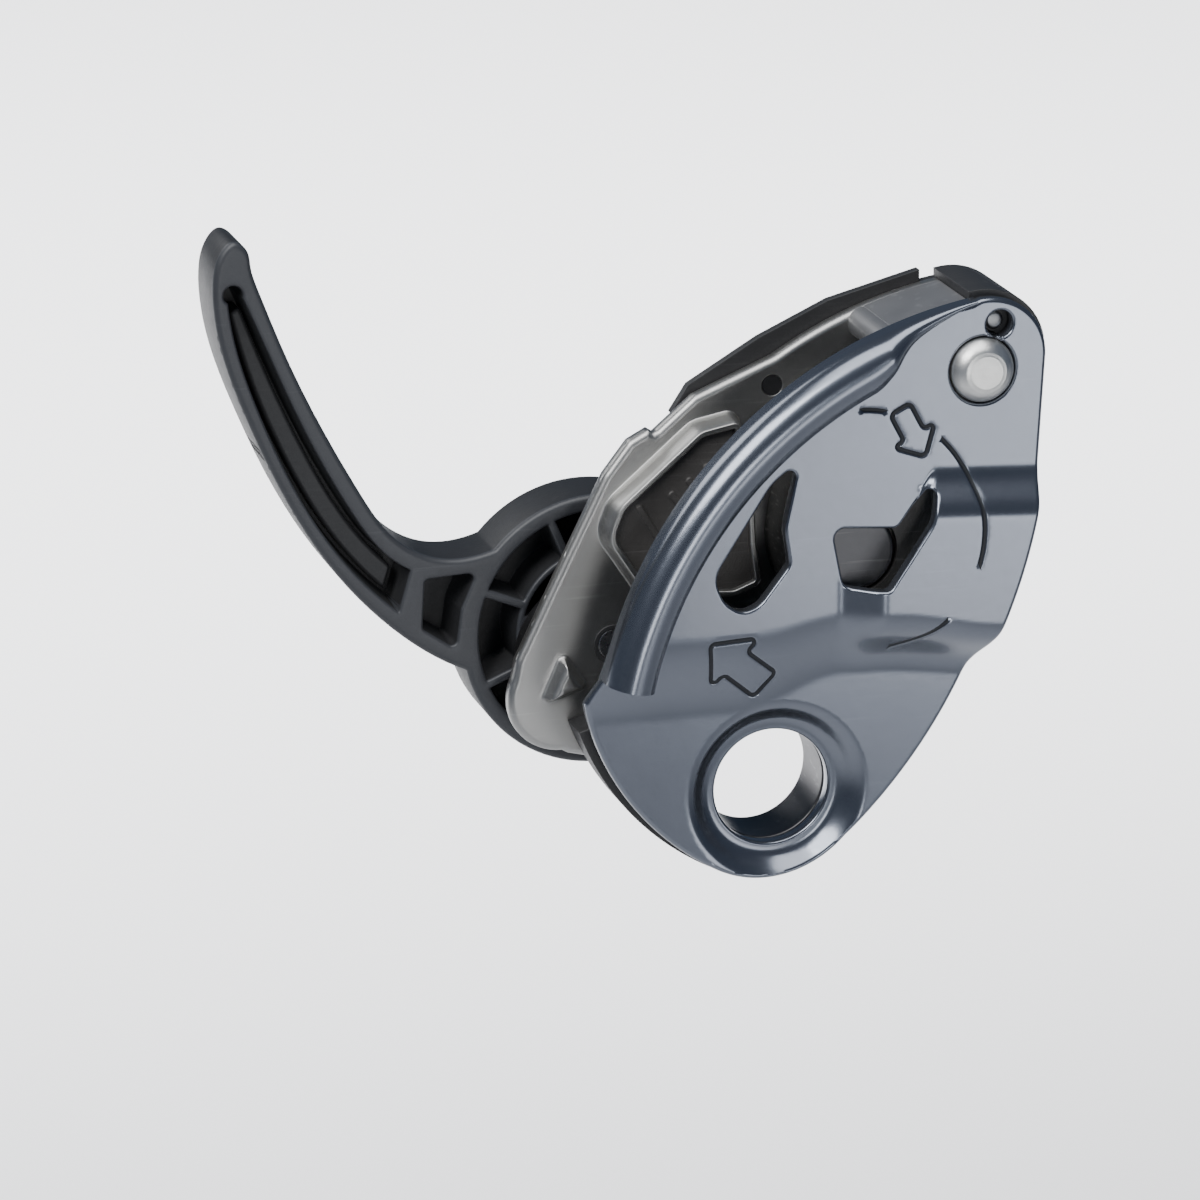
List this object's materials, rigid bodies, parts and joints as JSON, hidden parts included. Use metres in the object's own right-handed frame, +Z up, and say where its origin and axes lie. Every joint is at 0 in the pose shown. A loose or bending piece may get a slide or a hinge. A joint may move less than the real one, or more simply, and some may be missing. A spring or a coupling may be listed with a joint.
{
  "type": "belay device",
  "caption": "Assisted-braking belay device: a fixed plate with a pinching cam and a release handle, and a side plate that swings open on a rivet.",
  "frame": {"origin": "centre of the attachment hole, on the hole's axis", "axes": "+Z up as the device hangs under load, +X to the right of a viewer who faces the side plate, +Y from the side plate to the fixed plate along the hole and every axle"},
  "size_m": [0.1187, 0.04, 0.0976],
  "materials": {
    "side_plate_finish": "glossy dark blue-grey anodised sheet",
    "silver_plate": "satin silver-grey anodised aluminium",
    "grey_block": "satin cast block",
    "black_moulding": "matte moulded nylon",
    "handle_nylon": "satin glass-filled nylon",
    "stainless": "turned stainless steel",
    "rivet_steel": "turned rivet head",
    "dark_steel": "blackened steel",
    "spring_steel": "spring wire",
    "cam_finish": "black coated cam",
    "bronze": "sintered bronze bush"
  },
  "bodies": {
    "root": {"fixed_plate": "silver_plate", "plate_insert": "black_moulding", "lower_liner": "black_moulding", "attachment_bush": "stainless", "friction_block": "grey_block", "friction_plate": "stainless", "corner_cap": "black_moulding", "stop_pin": "stainless", "block_pin_left": "stainless", "block_pin_right": "stainless", "side_plate_rivet": "rivet_steel", "rivet_spacer": "stainless", "cam_axle": "stainless", "cam_axle_clip": "stainless", "handle_pivot": "dark_steel", "pivot_ring": "stainless", "pivot_washer": "stainless", "back_cover": "black_moulding", "cam_spring": "spring_steel", "cover_screw_upper": "dark_steel", "cover_screw_right": "dark_steel", "cover_screw_lower": "dark_steel"},
    "side_plate": {"side_plate": "side_plate_finish"},
    "release_hub": {"release_hub": "dark_steel", "hub_dog": "stainless", "handle_spring": "spring_steel"},
    "handle": {"handle_lever": "handle_nylon", "grip_panel": "handle_nylon"},
    "drive_arm": {"drive_arm": "dark_steel", "drive_pin": "stainless"},
    "cam": {"cam_body": "cam_finish", "cam_shoe": "stainless", "cam_bush": "bronze"}
  },
  "joints": [
    {"name": "side_plate_swing", "type": "hinge", "parent": "root", "child": "side_plate", "pos_m": [0.0295, 0, 0.0627], "axis": [0, -1, 0], "range_deg": [0, 110]},
    {"name": "handle_pull", "type": "hinge", "parent": "root", "child": "release_hub", "pos_m": [-0.0216, 0, 0.021], "axis": [0, -1, 0], "range_deg": [0, 92], "stiffness_Nm_per_rad": 0.02, "springref_deg": -34.38},
    {"name": "handle_fold", "type": "hinge", "parent": "release_hub", "child": "handle", "pos_m": [-0.0216, 0, 0.021], "axis": [0, -1, 0], "range_deg": [-80, 0]},
    {"name": "cam_release", "type": "hinge", "parent": "root", "child": "drive_arm", "pos_m": [0.0115, 0, 0.036], "axis": [0, -1, 0], "range_deg": [0, 13]},
    {"name": "cam_lock", "type": "hinge", "parent": "drive_arm", "child": "cam", "pos_m": [0.0115, 0, 0.036], "axis": [0, -1, 0], "range_deg": [-18, 0], "stiffness_Nm_per_rad": 0.02, "springref_deg": 17.19}
  ],
  "couplings": [
    {"joint": "cam_release", "follows": "handle_pull", "ratio": 0.1413}
  ]
}
